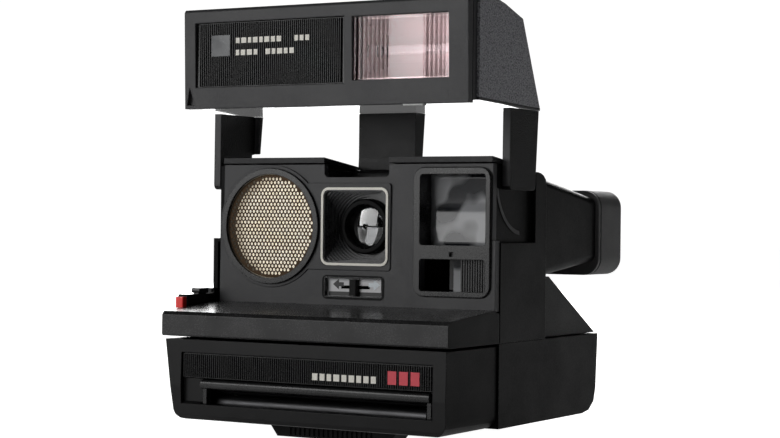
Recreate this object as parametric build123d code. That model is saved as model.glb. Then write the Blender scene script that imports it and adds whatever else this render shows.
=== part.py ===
"""Folding-flash instant camera: a wedge body, a fold-up electronic flash on two side arms,
a drop-down film door with its rollers, a sonar rangefinder disc, lens, finder and exposure slide.

Working frame while modelling, in millimetres: X to the right seen from the front, Y from the
front edge of the shelf to the back, Z up from the underside of the body. put() moves every
finished piece so that the origin is under the middle of the whole camera, at foot level."""
from build123d import *
import math
import os

# ---- driving dimensions -------------------------------------------------------------
WALL = 2.0                    # general moulding wall
SIDE_R, SIDE_L = 59.0, -64.0  # right and left side planes of the body
SEAM_Y = 37.9                 # where the film door meets the film chamber
REAR_Y = 121.6
DECK_Z = 30.0                 # seam between the lower body and the covers
ROOF_Z = 95.7                 # front edge of the roof
ROOF_MID_Z, ROOF_REAR_Z = 92.8, 90.9
BACK_Y = 75.0                 # vertical crease at the back of the upper cover

PANEL_Y_TOP, PANEL_Y_LOW = 35.7, 35.1
PANEL_TOP_Z, PANEL_LOW_Z = 93.1, 41.2
PANEL_HALF, PANEL_HALF_LOW = 57.2, 58.6
PANEL_STEP_Z = 66.0
NOTCH_X = (-12.5, 15.0)
NOTCH_Z = 88.4

RING_X, RING_Z, RING_R = -35.5, 70.2, 21.45
GRILLE_R = 19.2
HEX_PITCH = 1.56
LENS_X, LENS_Z = 1.2, 70.4
TRIM_HALF = 14.24
LENS_R, GLASS_R = 10.2, 8.2
EXPO_X, EXPO_Z = (-12.2, 13.2), (44.2, 52.1)
FINDER_X, FINDER_Z = (26.1, 56.7), (46.0, 91.6)
FINDER_WIN_X = (28.6, 55.0)
FINDER_WIN_Z = (64.1, 89.4)
CELL_WIN_Z = (47.7, 59.2)

SHELF_HALF = 59.1
SHELF_FRONT_Y, SHELF_FRONT_Z = 0.3, 38.9
SHELF_REAR_Z = 42.1
DOOR_HALF = 58.3
DOOR_LOW_L = 54.3             # the door's left side leans inward toward its bottom
DOOR_TOP_Z = 29.0
DOOR_AXIS = (36.0, 1.9)       # Y, Z of the film door hinge
HINGE_X = ((-50.0, -45.0), (45.0, 50.0))   # the two hinge knuckles
PIN_R, KNUCKLE_R = 0.8, 1.6
LIP_X, LIP_Z = (-42.3, 51.9), (11.5, 14.7)
SLOT_Z = 5.8
FOOT_DROP = 6.2
FOOT_HALF_TOP, FOOT_HALF_LOW = 28.5, 23.5
ROLLER_Y, NIP_Z = 10.6, 9.0
ROLLER_R = 3.1

FOLD_AXIS = (58.0, 88.4)      # Y, Z of the flash hinge
ARM_OUT_R, ARM_OUT_L = 60.3, -66.9
ARM_THICK_R, ARM_THICK_L = 3.0, 2.9
ARM_Y = (42.3, 64.0)
ARM_LOW_Z = 84.0
POCKET_R, POCKET_L = 56.9, -61.2   # floors of the two arm pockets
ARM_POCKET_Z = 65.3
STUB_R = 2.4
FLASH_Z = (113.1, 149.5)
FLASH_HALF = 59.3
HOUSING_FRONT_Y = 18.5
GRIP_X, GRIP_Z = (-54.5, 9.8), (120.8, 144.5)
WINDOW_X, WINDOW_Z = (13.2, 51.5), (122.0, 144.0)
COLUMN_X, COLUMN_Y = (-12.0, 12.5), (59.0, 65.6)

TUBE_X = (25.0, 58.4)
TUBE_Z_FRONT, TUBE_Z_REAR = (52.8, 89.0), (57.6, 82.4)
TUBE_END_Y, CUP_END_Y = 120.0, 142.4
CUP_X, CUP_Z = (24.4, 59.8), (52.4, 85.2)

HOME = Location((-(ARM_OUT_L + ARM_OUT_R) / 2, -(SHELF_FRONT_Y + CUP_END_Y) / 2, FOOT_DROP))


# ---- helpers ------------------------------------------------------------------------
def put(shape, name):
    """Write one piece, moved from the working frame to the camera's own origin."""
    solids = shape.solids()
    piece = solids[0] if len(solids) == 1 else Compound(children=list(solids))
    export_step(HOME * piece, f"parts/{name}.step")


def block(x, y, z):
    """A box from three (low, high) pairs."""
    size = [high - low for low, high in (x, y, z)]
    centre = [(high + low) / 2 for low, high in (x, y, z)]
    return Pos(*centre) * Box(*size)


def side_prism(points, x):
    """A Y-Z outline, extruded from x[0] to x[1]."""
    face = make_face(Plane.YZ * Polyline(*points, close=True))
    return Pos(x[0], 0, 0) * extrude(face, x[1] - x[0], dir=(1, 0, 0))


def front_prism(points, y):
    """An X-Z outline, extruded from y[0] to y[1]."""
    face = make_face(Polyline(*[(px, 0, pz) for px, pz in points], close=True))
    return Pos(0, y[0], 0) * extrude(face, y[1] - y[0], dir=(0, 1, 0))


def front_plate(x, z, y, corner):
    """A rounded rectangle facing forward."""
    outline = RectangleRounded(x[1] - x[0], z[1] - z[0], corner)
    body = extrude(outline, y[1] - y[0])
    return Pos((x[0] + x[1]) / 2, y[1], (z[0] + z[1]) / 2) * Rot(90, 0, 0) * body


def rod_x(radius, x, y, z):
    return Pos((x[0] + x[1]) / 2, y, z) * Rot(0, 90, 0) * Cylinder(radius, x[1] - x[0])


def rod_y(radius, y, x, z):
    return Pos(x, (y[0] + y[1]) / 2, z) * Rot(90, 0, 0) * Cylinder(radius, y[1] - y[0])


def rod_z(radius, z, x, y):
    return Pos(x, y, (z[0] + z[1]) / 2) * Cylinder(radius, z[1] - z[0])


def ribs_x(x, y, z, pitch, share=0.5):
    """Vertical ribs side by side along X, as one fused comb with no backing."""
    count = round((x[1] - x[0]) / pitch)
    step = (x[1] - x[0]) / count
    return [block((x[0] + i * step, x[0] + (i + share) * step), y, z) for i in range(count)]


def panel_y(z):
    """Y of the sloping front panel at height z."""
    share = (z - PANEL_LOW_Z) / (PANEL_TOP_Z - PANEL_LOW_Z)
    return PANEL_Y_LOW + share * (PANEL_Y_TOP - PANEL_Y_LOW)


# ---- body shell ---------------------------------------------------------------------
def front_panel():
    rear = PANEL_Y_TOP + 2.6
    low = side_prism([(PANEL_Y_LOW, PANEL_LOW_Z), (panel_y(PANEL_STEP_Z), PANEL_STEP_Z),
                      (rear, PANEL_STEP_Z), (rear, PANEL_LOW_Z)],
                     (-PANEL_HALF_LOW, PANEL_HALF_LOW))
    high = side_prism([(panel_y(PANEL_STEP_Z), PANEL_STEP_Z), (PANEL_Y_TOP, PANEL_TOP_Z),
                       (rear, PANEL_TOP_Z), (rear, PANEL_STEP_Z)], (-PANEL_HALF, PANEL_HALF))
    raised = rod_y(RING_R + 1.3, (34.8, 37.0), RING_X, RING_Z)
    raised += front_plate((RING_X, 16.2), (54.5, 86.2), (34.8, 37.0), 1.2)
    panel = low + high + raised
    panel -= rod_y(RING_R + 0.15, (30, 45), RING_X, RING_Z)
    panel -= front_plate((LENS_X - 14.0, LENS_X + 14.0), (LENS_Z - 14.0, LENS_Z + 14.0),
                         (30, 45), 2.8)
    panel -= block(EXPO_X, (30, 45), EXPO_Z)
    panel -= block((FINDER_WIN_X[0] - 1.2, FINDER_WIN_X[1] + 1.0),
                   (30, 45), (FINDER_WIN_Z[0] - 1.0, FINDER_WIN_Z[1] + 1.0))
    panel -= block((FINDER_WIN_X[0], FINDER_WIN_X[1]), (30, 45), CELL_WIN_Z)
    panel -= front_plate(NOTCH_X, (NOTCH_Z, NOTCH_Z + 20), (30, 45), 1.6)
    return panel


def channel_cut():
    """The trough that the folded flash column lies in, open at the front and the top."""
    trough = block(NOTCH_X, (30, 67.2), (NOTCH_Z, 110))
    hub = rod_x(4.4, NOTCH_X, *FOLD_AXIS)
    return trough + hub


def top_cover():
    half_r, half_l = 57.1, -57.4
    roof = side_prism([(35.3, ROOF_Z), (60, ROOF_MID_Z), (66, ROOF_REAR_Z + 0.6),
                       (66, ROOF_REAR_Z - 1.4), (60, ROOF_MID_Z - 2), (38.5, ROOF_Z - 2.2),
                       (35.3, ROOF_Z - 2.1)], (half_l, half_r))
    trough = block((NOTCH_X[0] - 1.8, NOTCH_X[1] + 1.8), (38.5, 69.0), (86.6, 91.0))
    trough += block((NOTCH_X[0] - 1.8, NOTCH_X[1] + 1.8), (51.8, 64.2), (82.2, 88.0))
    cover = roof + trough
    cover -= channel_cut()
    return cover


def upper_outline(inset):
    """Y-Z outline of the upper rear cover, with its rounded top rear edge."""
    front = SEAM_Y + 0.6
    return [(front, DECK_Z + 0.03), (BACK_Y - inset, DECK_Z + 0.03), (BACK_Y - inset, 86.6),
            (74.2 - inset, 88.4), (72.4 - inset, 89.8), (70.0, 90.6), (67.6, ROOF_REAR_Z),
            (66.1, ROOF_REAR_Z), (66.1, 85.0), (60.0, 78.0), (front, ARM_POCKET_Z)]


def rear_cover():
    """Upper rear shell. Its sides are stepped in above ARM_POCKET_Z, where the flash arms swing."""
    shell = side_prism(upper_outline(0), (SIDE_L, SIDE_R))
    shell -= block((SIDE_L + WALL, SIDE_R - WALL), (SEAM_Y - 5, BACK_Y - WALL), (DECK_Z - 5, 64))
    shell -= block((POCKET_L + WALL, POCKET_R - WALL), (SEAM_Y - 5, BACK_Y - WALL), (60, 86.4))
    for low, high in ((POCKET_L, POCKET_L + 4.0), (POCKET_R - 1.7, POCKET_R)):
        shell += side_prism([(38.9, 60.0), (66.1, 60.0), (66.1, 89.2), (60.0, 90.5), (38.9, 92.9)],
                            (low, high))
    shell -= block((POCKET_R, SIDE_R + 5), (30, 65.9), (ARM_POCKET_Z, 120))
    shell -= block((SIDE_L - 5, POCKET_L), (30, 65.9), (ARM_POCKET_Z, 120))
    shell -= block((NOTCH_X[0] - 2.0, NOTCH_X[1] + 2.0), (50.0, 69.2), (80.0, 100.0))
    shell -= rod_x(STUB_R + 0.05, (POCKET_R - 4, POCKET_R + 1), *FOLD_AXIS)
    shell -= rod_x(STUB_R + 0.05, (POCKET_L - 1, POCKET_L + 5), *FOLD_AXIS)
    shell -= block((26.0, 56.0), (70, 80), (56.5, 84.5))
    shell -= block((-50, 14), (70, 80), (33, 84))
    rim = rod_x(20.4, (POCKET_R - 0.1, POCKET_R + 0.32), *FOLD_AXIS)
    rim -= rod_x(18.9, (POCKET_R - 1, POCKET_R + 1), *FOLD_AXIS)
    return shell + (rim & block((50, 60), (38.6, 56.5), (ARM_POCKET_Z, 84.5)))


def mirror_housing():
    """The sloping back: a steep hump behind the roof and a shallow wedge under the finder."""
    hump = side_prism([(BACK_Y, 30.4), (BACK_Y, 86.0), (78.0, 84.5), (118.5, 30.4)],
                      (-54.0, 24.0))
    hump_in = side_prism([(BACK_Y - 1, 29), (BACK_Y - 1, 84), (77.0, 82.0), (115.6, 29)],
                         (-52.0, 22.0))
    wedge = side_prism([(BACK_Y, 30.4), (BACK_Y, 52.7), (80.4, 52.7), (121.6, 30.4)],
                       (24.0, 57.6))
    wedge_in = side_prism([(BACK_Y - 1, 29), (BACK_Y - 1, 51.0), (78.0, 50.6), (115.6, 29)],
                          (22.0, 55.6))
    left = side_prism([(BACK_Y, 30.4), (BACK_Y, 53.6), (77.0, 53.0), (119.4, 30.4)],
                      (-62.0, -54.0))
    left_in = side_prism([(BACK_Y - 1, 29), (BACK_Y - 1, 51.0), (77.0, 50.6), (114.0, 29)],
                         (-60.0, -52.0))
    shell = (hump + wedge + left) - (hump_in + wedge_in + left_in)
    return shell


def film_chamber():
    outer = side_prism([(SEAM_Y, 0.0), (108.0, 0.0), (114.0, 0.9), (118.6, 4.0), (120.2, 9.0),
                        (REAR_Y, 28.1), (REAR_Y, 30.0), (SEAM_Y, 30.0)], (SIDE_L, SIDE_R))
    inner = block((SIDE_L + WALL, SIDE_R - WALL), (SEAM_Y - 2, 116.4), (WALL, 28.0))
    chamber = outer - inner
    chamber -= block((-44, 46), (42, 112), (27, 31))
    chamber -= block((SIDE_L - 1, SIDE_L + WALL + 1), (41.0, 55.0), (11.0, 19.0))
    plinth = front_prism([(-23.5, -FOOT_DROP), (23.5, -FOOT_DROP), (28.5, 0.4), (-28.5, 0.4)],
                         (88.0, 106.0))
    post = rod_z(1.5, (28.0, 33.4), DIAL_X, DIAL_Y) + rod_z(2.4, (32.6, 33.4), DIAL_X, DIAL_Y)
    y, z = DOOR_AXIS
    for x in HINGE_X:
        knuckle = rod_x(KNUCKLE_R, x, y, z) + block(x, (y, SEAM_Y + 0.5), (z - KNUCKLE_R, z + 0.8))
        chamber += knuckle - rod_x(PIN_R + 0.05, (x[0] - 1, x[1] + 1), y, z)
    return chamber + plinth + post


def front_shelf():
    slope = (SHELF_REAR_Z - SHELF_FRONT_Z) / 40.5
    rear = PANEL_Y_LOW - 0.2
    rear_z = SHELF_FRONT_Z + slope * rear
    outer = side_prism([(SHELF_FRONT_Y, 30.6), (0.9, 30.0), (SEAM_Y - 0.2, 30.0), (SEAM_Y - 0.2, 40.6),
                        (rear, 41.0), (rear, rear_z), (1.5, SHELF_FRONT_Z + 0.1),
                        (SHELF_FRONT_Y, 37.7)], (-SHELF_HALF - 0.4, SHELF_HALF))
    pocket = side_prism([(2.4, 29), (2.4, 36.4), (33, 38.9), (35.6, 38.9), (35.6, 29)],
                        (-SHELF_HALF + WALL, SHELF_HALF - WALL))
    return outer - pocket


# ---- rangefinder, lens, finder --------------------------------------------------------
def transducer_ring():
    ring = rod_y(RING_R, (33.6, 44.0), RING_X, RING_Z) - rod_y(GRILLE_R + 0.15, (30, 45), RING_X, RING_Z)
    lip = rod_y(RING_R - 1.0, (42.4, 44.0), RING_X, RING_Z) - rod_y(GRILLE_R - 1.6, (30, 45), RING_X, RING_Z)
    return ring + lip


def transducer_grille():
    """Perforated disc: round holes on a triangular grid, kept inside a plain rim."""
    disc = rod_y(GRILLE_R, (34.9, 35.5), RING_X, RING_Z)
    coarse = HEX_PITCH * 2
    rows = int(GRILLE_R / (coarse * 0.866)) + 1
    holes = []
    for row in range(-rows, rows + 1):
        height = row * coarse * 0.866
        shift = (row % 2) * coarse / 2
        for col in range(-rows, rows + 1):
            across = col * coarse + shift
            if math.hypot(across, height) < GRILLE_R - 2.0:
                holes.append(rod_y(1.05, (33, 37), RING_X + across, RING_Z + height))
    return disc - holes


def transducer_foil():
    return rod_y(GRILLE_R - 0.3, (39.2, 42.3), RING_X, RING_Z)


def lens_trim():
    outer = front_plate((LENS_X - TRIM_HALF, LENS_X + TRIM_HALF),
                        (LENS_Z - TRIM_HALF, LENS_Z + TRIM_HALF), (34.3, 34.7), 3.0)
    inner = front_plate((LENS_X - TRIM_HALF + 0.9, LENS_X + TRIM_HALF - 0.9),
                        (LENS_Z - TRIM_HALF + 0.9, LENS_Z + TRIM_HALF - 0.9), (33, 36), 2.2)
    return outer - inner


def lens_hood():
    """Square funnel of stepped baffles, narrowing to the lens barrel."""
    half = TRIM_HALF - 0.35
    hood = front_plate((LENS_X - half, LENS_X + half), (LENS_Z - half, LENS_Z + half),
                       (34.8, 47.6), 2.7)
    steps = 6
    for i in range(steps):
        start = 33.0 if i == 0 else 34.8 + 1.75 * i
        reach = half - 0.9 - 0.24 * i
        hood -= front_plate((LENS_X - reach, LENS_X + reach), (LENS_Z - reach, LENS_Z + reach),
                            (start, 34.8 + 1.75 * (i + 1)), 2.0)
    hood -= rod_y(LENS_R + 0.1, (40, 50), LENS_X, LENS_Z)
    return hood


def lens_barrel():
    """Black mount with a bevelled front ring around the glass."""
    tube = rod_y(LENS_R, (41.4, 49.4), LENS_X, LENS_Z)
    tube = fillet(tube.faces().sort_by(Axis.Y)[0].edges(), 0.8)
    return tube - rod_y(GLASS_R + 0.05, (40, 52), LENS_X, LENS_Z)


def front_lens():
    flat = rod_y(GLASS_R, (44.2, 46.6), LENS_X, LENS_Z)
    curve = 24.0
    dome = Pos(LENS_X, 42.6 + curve, LENS_Z) * Sphere(curve)
    return flat + (dome & rod_y(GLASS_R, (42.0, 44.4), LENS_X, LENS_Z))


DISC_X, DISC_Z, DISC_ORBIT = LENS_X, LENS_Z - 14.0, 14.0


def focus_disc():
    disc = rod_y(20.6, (50.2, 52.2), DISC_X, DISC_Z)
    for i in range(4):
        angle = math.radians(90 + 90 * i)
        disc -= rod_y(5.0, (49, 53), DISC_X + DISC_ORBIT * math.cos(angle), DISC_Z + DISC_ORBIT * math.sin(angle))
    disc -= rod_y(2.05, (49, 53), DISC_X, DISC_Z)
    return disc


def focus_lens(index):
    angle = math.radians(90 + 90 * index)
    return rod_y(4.98, (50.6, 51.8), DISC_X + DISC_ORBIT * math.cos(angle),
                 DISC_Z + DISC_ORBIT * math.sin(angle))


def shutter_plate():
    plate = block((-24.0, 26.0), (56.4, 58.0), (33.0, 80.8))
    plate -= rod_y(5.4, (55, 60), LENS_X, LENS_Z)
    axle = rod_y(2.0, (49.8, 57.0), DISC_X, DISC_Z)
    rails = block((-24.0, 26.0), (53.2, 56.4), (64.4, 65.4)) + block((-24.0, 26.0), (53.2, 56.4), (76.2, 77.2))
    return plate + axle + rails


def shutter_blade(side):
    """One of two sliding blades with a teardrop window; side is -1 or +1."""
    y = (53.8, 54.4) if side < 0 else (55.0, 55.6)
    blade = block((LENS_X - 11.0, LENS_X + 11.0), y, (65.7, 75.9))
    window = rod_y(3.6, (53, 57), LENS_X - side * 5.6, 70.8)
    return blade - window


def viewfinder_frame():
    frame = front_plate(FINDER_X, FINDER_Z, (34.2, 35.0), 4.0)
    frame += front_plate((FINDER_X[0] + 1.0, FINDER_X[1] - 0.8), (FINDER_Z[0] + 1.0, FINDER_Z[1] - 0.9),
                         (34.6, 35.05), 3.4)
    frame -= front_plate(FINDER_WIN_X, FINDER_WIN_Z, (30, 40), 1.2)
    frame -= front_plate(FINDER_WIN_X, CELL_WIN_Z, (30, 40), 1.0)
    frame -= block((40.75, 42.25), (30, 40), (60.1, 61.7))
    x, z = FINDER_WIN_X, FINDER_WIN_Z
    frame += block((x[0] - 1.0, x[0]), (34.9, 42.2), (z[0] - 0.9, z[1] + 0.9))
    frame += block((x[0] - 1.0, x[1]), (34.9, 42.2), (z[0] - 0.9, z[0]))
    frame += block((x[0] - 1.0, x[1]), (34.9, 42.2), (z[1], z[1] + 0.9))
    return frame


def finder_tunnel():
    """Dark funnel between the front and the rear of the finder."""
    outer = block((27.0, 54.5), (44.6, 72.9), (62.8, 86.0))
    inner = block((28.4, 53.1), (44, 74), (64.2, 84.6))
    return outer - inner


def viewfinder_lens():
    x = (FINDER_WIN_X[0] + 0.1, FINDER_WIN_X[1] - 0.1)
    return front_plate(x, (FINDER_WIN_Z[0] - 0.4, FINDER_WIN_Z[1] + 0.3), (42.3, 44.5), 2.6)


def viewfinder_tube():
    def outline(inset):
        return [(BACK_Y + 0.05 - inset, TUBE_Z_FRONT[0] + inset), (TUBE_END_Y + inset, TUBE_Z_REAR[0] + inset),
                (TUBE_END_Y + inset, TUBE_Z_REAR[1] - inset), (BACK_Y + 0.05 - inset, TUBE_Z_FRONT[1] - inset)]
    tube = side_prism(outline(0), TUBE_X)
    tube = fillet([e for e in tube.edges() if e.length > 30 and abs(e.center().Y - 97) < 6], 3.0)
    tube -= side_prism(outline(1.8), (TUBE_X[0] + 1.8, TUBE_X[1] - 1.8))
    return tube


def viewfinder_eye_lens():
    return block((28.0, 55.4), (115.0, 117.4), (60.6, 78.4))


def eyecup():
    cup = Pos((CUP_X[0] + CUP_X[1]) / 2, 0, (CUP_Z[0] + CUP_Z[1]) / 2) * Rot(90, 0, 0) * extrude(
        RectangleRounded(CUP_X[1] - CUP_X[0], CUP_Z[1] - CUP_Z[0], 6.5), CUP_END_Y - TUBE_END_Y - 0.05)
    cup = Pos(0, CUP_END_Y, 0) * cup
    cup = fillet(cup.faces().sort_by(Axis.Y)[-1].edges(), 1.4)
    groove = front_plate((CUP_X[0] - 2, CUP_X[1] + 2), (CUP_Z[0] - 2, CUP_Z[1] + 2),
                         (TUBE_END_Y + 1.6, TUBE_END_Y + 2.6), 2.0)
    groove -= front_plate((CUP_X[0] + 0.9, CUP_X[1] - 0.9), (CUP_Z[0] + 0.9, CUP_Z[1] - 0.9),
                          (TUBE_END_Y + 1, TUBE_END_Y + 3), 6.6)
    cup -= groove
    cup -= front_plate((28.6, 55.0), (60.0, 79.2), (TUBE_END_Y - 1, TUBE_END_Y + 4), 1.5)
    cup -= front_plate((CUP_X[0] + 2.6, CUP_X[1] - 2.6), (CUP_Z[0] + 2.6, CUP_Z[1] - 2.6),
                       (TUBE_END_Y + 3.0, CUP_END_Y + 2), 3.0)
    return cup


def photocell_window():
    return block((39.4, 44.2), (40.2, 41.4), (CELL_WIN_Z[0] - 0.3, CELL_WIN_Z[1] + 0.3))


def photocell():
    body = block((36.0, 47.0), (43.4, 48.6), (48.0, 59.0))
    return body + rod_y(1.9, (41.6, 43.4), 41.8, 53.4)


def photocell_vane():
    """Dark sliding wedge in front of the light cell, with fine vertical ribs."""
    plate = block((43.2, 54.2), (38.9, 39.7), (47.4, 59.6))
    for rib in ribs_x((43.2, 54.2), (38.4, 38.95), (47.4, 59.6), 1.0):
        plate += rib
    return plate


def exposure_track():
    x = (EXPO_X[0] + 0.2, EXPO_X[1] - 0.2)
    z = (EXPO_Z[0] + 0.2, EXPO_Z[1] - 0.2)
    tray = block(x, (35.0, 38.2), z) - block((x[0] + 0.5, x[1] - 0.5), (34, 37.0), (z[0] + 0.5, z[1] - 0.5))
    slot = block((x[0] + 6.4, x[1] - 6.4), (36, 40), (47.6, 48.8))
    return tray - slot


def exposure_slider():
    """Upright black bar in front of the printed plate, with a stem through its slot."""
    middle = (EXPO_X[0] + EXPO_X[1]) / 2
    bar = block((middle - 1.6, middle + 1.6), (34.8, 36.7), (45.2, 51.1))
    bar = fillet(bar.edges().filter_by(Axis.Z).group_by(Axis.Y)[0], 0.6)
    stem = block((middle - 1.4, middle + 1.4), (36.6, 41.8), (47.8, 48.6))
    return bar + stem


# ---- controls on the shelf ------------------------------------------------------------
BUTTON_X, BUTTON_Z = -62.95, (39.4, 43.5)
OVERRIDE_Y = (25.4, 31.2)
BUTTON_HALF = 1.75


def button_housing():
    """Narrow pod beside the shelf that carries the shutter button and the flash override bar."""
    pod = side_prism([(17.4, 38.8), (38.3, 38.8), (38.3, 46.4), (34.6, 46.4), (34.6, 44.4), (18.0, 44.4),
                      (17.4, 43.8)], (-65.0, -60.9))
    pod -= block((BUTTON_X - BUTTON_HALF - 0.1, BUTTON_X + BUTTON_HALF + 0.1), (10, 26),
                 (BUTTON_Z[0] - 0.1, BUTTON_Z[1] + 0.1))
    pod -= block((-64.3, -61.5), (OVERRIDE_Y[0], 34.4), (43.9, 50))
    return pod


def shutter_button():
    cap = block((BUTTON_X - BUTTON_HALF, BUTTON_X + BUTTON_HALF), (15.2, 23.2), BUTTON_Z)
    return fillet(cap.faces().sort_by(Axis.Y)[0].edges(), 0.5)


def override_button():
    bar = block((-64.7, -61.1), OVERRIDE_Y, (44.7, 46.6))
    bar = fillet(bar.edges().filter_by(Axis.X).group_by(Axis.Y)[0], 0.8)
    return bar + block((-64.0, -61.8), (OVERRIDE_Y[0] + 0.4, OVERRIDE_Y[1] - 0.4), (44.1, 44.8))


# ---- inside the body --------------------------------------------------------------------
def mirror():
    tilt = math.radians(53.0)
    length, thick = 58.0, 2.0
    plate = Rot(-math.degrees(tilt), 0, 0) * Box(66.0, length, thick)
    return Pos(-16.0, 93.2, 55.4) * plate


def light_cone():
    outer = block((-50.6, 20.0), (60.6, 72.6), (33.0, 80.0))
    inner = block((-48.8, 18.2), (60, 73), (34.8, 78.2))
    back = block((-12.0, 14.4), (60.6, 61.8), (60.0, 80.0)) - rod_y(8.0, (60, 63), LENS_X, LENS_Z)
    return (outer - inner) + back


def main_board():
    board = block((-50.0, 14.0), (42.0, 43.6), (33.0, 44.6))
    chips = block((-44.0, -30.0), (43.6, 46.0), (35.5, 42.0)) + block((-20.0, -8.0), (43.6, 45.4), (36.0, 41.5))
    return board + chips


def drive_motor():
    can = rod_x(7.4, (-46.0, -16.0), 24.6, 20.4)
    return can + rod_x(1.0, (-50.0, -46.0), 24.6, 20.4)


def film_pack():
    shell = block((-44.5, 44.5), (40.0, 114.0), (2.6, 16.0))
    shell -= block((-39.5, 39.5), (43.5, 110.0), (14.4, 17.0))
    shell -= block((-43.0, 43.0), (39.0, 42.0), (8.4, 10.0))
    return shell


DIAL_X, DIAL_Y, DIAL_R = -50.0, 99.0, 8.8


def counter_window():
    """Small pane on the left wedge of the back, above the rim of the counter dial."""
    run, rise = 119.4 - 77.0, 53.0 - 30.4
    slope = math.atan2(rise, run)
    y = 102.0
    z = 53.0 - (y - 77.0) * rise / run
    pane = Rot(-math.degrees(slope), 0, 0) * Box(5.0, 7.0, 0.5)
    return Pos(-58.2, y + 0.26 * math.sin(slope), z + 0.26 * math.cos(slope)) * pane


def counter_dial():
    dial = rod_z(DIAL_R, (30.9, 32.2), DIAL_X, DIAL_Y) - rod_z(1.55, (30, 34), DIAL_X, DIAL_Y)
    return dial


# ---- film door ----------------------------------------------------------------------------
def door_cover():
    outer = side_prism([(0.9, DOOR_TOP_Z), (0.5, 12.0), (0.9, 1.7), (1.7, 0.4), (3.2, 0.0),
                        (34.4, 0.0), (37.2, 0.6), (37.5, 2.0), (37.5, DOOR_TOP_Z)],
                       (-DOOR_HALF, DOOR_HALF))
    outer -= door_lean(0)
    inner = side_prism([(3.4, 40.0), (3.4, 3.6), (4.6, WALL), (40.0, WALL), (40.0, 40.0)],
                       (-DOOR_HALF + WALL, DOOR_HALF - WALL))
    door = outer - (inner - door_lean(WALL))
    corner = 5.0
    for side, half in ((-1, DOOR_LOW_L + 0.3), (1, DOOR_HALF)):
        cut = block((0, corner + 3.0), (-1, 40), (-1, corner))
        cut -= rod_y(corner, (-2, 41), 0, corner)
        cut -= block((corner, corner + 4), (-2, 41), (corner - 0.5, corner + 1))
        place = Pos(side * (half - corner), 0, 0)
        door -= place * (cut if side > 0 else mirror_x(cut))
    y, z = DOOR_AXIS
    for low, high in HINGE_X:
        door -= block((low - 0.2, high + 0.2), (y - 1.9, 40), (-1, z + 1.9))
        door += rod_x(PIN_R, (low - 0.3, high + 0.3), y, z)
    door -= block((-50.9, 53.2), (-1, 5.0), (15.0, 24.3))
    door -= side_prism([(-1, SLOT_Z - 1.0), (2.6, SLOT_Z + 0.9), (2.6, 15.1), (-1, 15.1)], (-50.9, 53.2))
    door -= block((LIP_X[0] - 0.2, LIP_X[1] + 0.2), (-1, 6.0), (SLOT_Z, 15.0))
    return door


def door_lean(inset):
    """What the leaning left side takes off the door's outline."""
    return front_prism([(-DOOR_HALF - 2, DOOR_TOP_Z + 1), (-DOOR_HALF + inset, DOOR_TOP_Z + 1),
                        (-DOOR_LOW_L + inset, 3.0), (-DOOR_LOW_L + inset, -1), (-DOOR_HALF - 2, -1)], (-1, 41))


def mirror_x(shape):
    return shape.mirror(Plane.YZ)


def door_grip_panel():
    back = block((-50.6, 52.9), (1.9, 3.3), (15.3, 24.0))
    return back + ribs_x((-50.6, 52.9), (0.9, 2.0), (15.3, 24.0), 1.8)


def slot_lip():
    bar = block(LIP_X, (0.4, 5.0), LIP_Z)
    bar = fillet(bar.edges().filter_by(Axis.X).group_by(Axis.Y)[0], 1.2)
    end_left = block((LIP_X[0], LIP_X[0] + 1.6), (2.2, 5.0), (SLOT_Z + 0.1, LIP_Z[0] + 0.4))
    end_right = block((LIP_X[1] - 1.6, LIP_X[1]), (2.2, 5.0), (SLOT_Z + 0.1, LIP_Z[0] + 0.4))
    return bar + end_left + end_right


def roller_carriage():
    plates = [block((side * 51.0 - 1.0, side * 51.0 + 1.0), (6.0, 15.4), (2.1, 17.0)) for side in (-1, 1)]
    tie = block((-51.5, 51.5), (12.6, 14.6), (15.8, 17.0))
    carriage = plates[0] + plates[1] + tie
    for z in (NIP_Z + ROLLER_R + 0.1, NIP_Z - ROLLER_R - 0.1):
        carriage -= rod_x(1.55, (-60, 60), ROLLER_Y, z)
    return carriage


def roller(z, gear_shift):
    barrel = rod_x(ROLLER_R, (-47.0, 47.0), ROLLER_Y, z)
    axle = rod_x(1.5, (-52.1, 52.6), ROLLER_Y, z)
    return barrel + axle + gear(z, gear_shift)


def gear(z, turn):
    """Small spur gear on a roller's right end; both gears share one pitch circle size."""
    teeth, root, tip = 12, 2.6, 3.62
    outline = []
    for i in range(teeth):
        start = turn + i * 360 / teeth
        for offset, radius in ((-8.5, root), (-3.6, tip), (3.6, tip), (8.5, root)):
            angle = math.radians(start + offset)
            outline.append((ROLLER_Y + radius * math.cos(angle), z + radius * math.sin(angle)))
    return side_prism(outline, (52.5, 55.6))


def door_foot():
    top_z, low_z = 0.3, -FOOT_DROP
    core = front_prism([(-FOOT_HALF_LOW, low_z), (FOOT_HALF_LOW, low_z), (FOOT_HALF_TOP, top_z),
                        (-FOOT_HALF_TOP, top_z)], (22.8, 33.5))
    foot = core - block((-60, 60), (20, 40), (-0.01, 5))
    slots = ribs_x((-18.0, 18.0), (22.0, 23.4), (low_z + 0.8, -1.0), 2.0, 0.45)
    for slot in slots:
        foot -= slot
    return foot


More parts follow.
